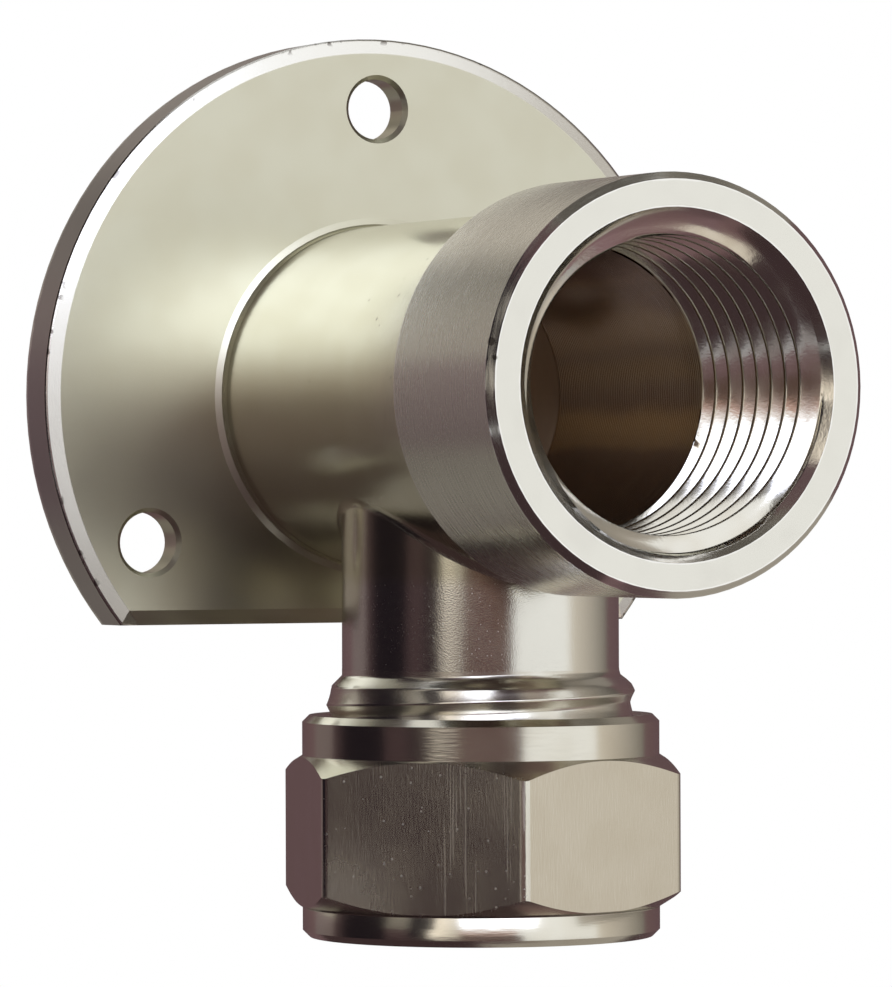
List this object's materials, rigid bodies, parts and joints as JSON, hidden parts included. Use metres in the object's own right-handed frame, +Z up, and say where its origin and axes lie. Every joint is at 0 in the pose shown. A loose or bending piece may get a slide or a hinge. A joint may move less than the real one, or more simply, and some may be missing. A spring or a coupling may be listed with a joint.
{
  "type": "wall plate elbow",
  "caption": "Wall-mounted plumbing elbow: round screw plate with a flat lower edge, forward female threaded socket and a downward compression outlet with a hexagon nut.",
  "frame": {"origin": "centre of the screw circle on the wall plane, behind the socket's axis", "axes": "+Y into the wall along the socket's axis, +Z up, the socket opens towards -Y and the outlet towards -Z"},
  "size_m": [0.049, 0.0465, 0.0603],
  "materials": {
    "plated_forging": "satin nickel plate over forged and machined brass",
    "plated_nut": "satin nickel plate over turned hexagon brass bar",
    "bare_brass": "bare turned brass"
  },
  "bodies": {
    "elbow": {"elbow_body": "plated_forging"},
    "olive": {"olive": "bare_brass"},
    "nut": {"compression_nut": "plated_nut"}
  },
  "joints": [
    {"name": "olive_travel", "type": "slide", "parent": "elbow", "child": "olive", "axis": [0, 0, -1], "range_m": [0, 0.00635]},
    {"name": "nut_turn", "type": "hinge", "parent": "olive", "child": "nut", "pos_m": [0, -0.019, -0.0285], "axis": [0, 0, -1], "range_deg": [0, 1260]}
  ],
  "couplings": [
    {"joint": "olive_travel", "follows": "nut_turn", "m_per_rad": 0.00028871}
  ]
}
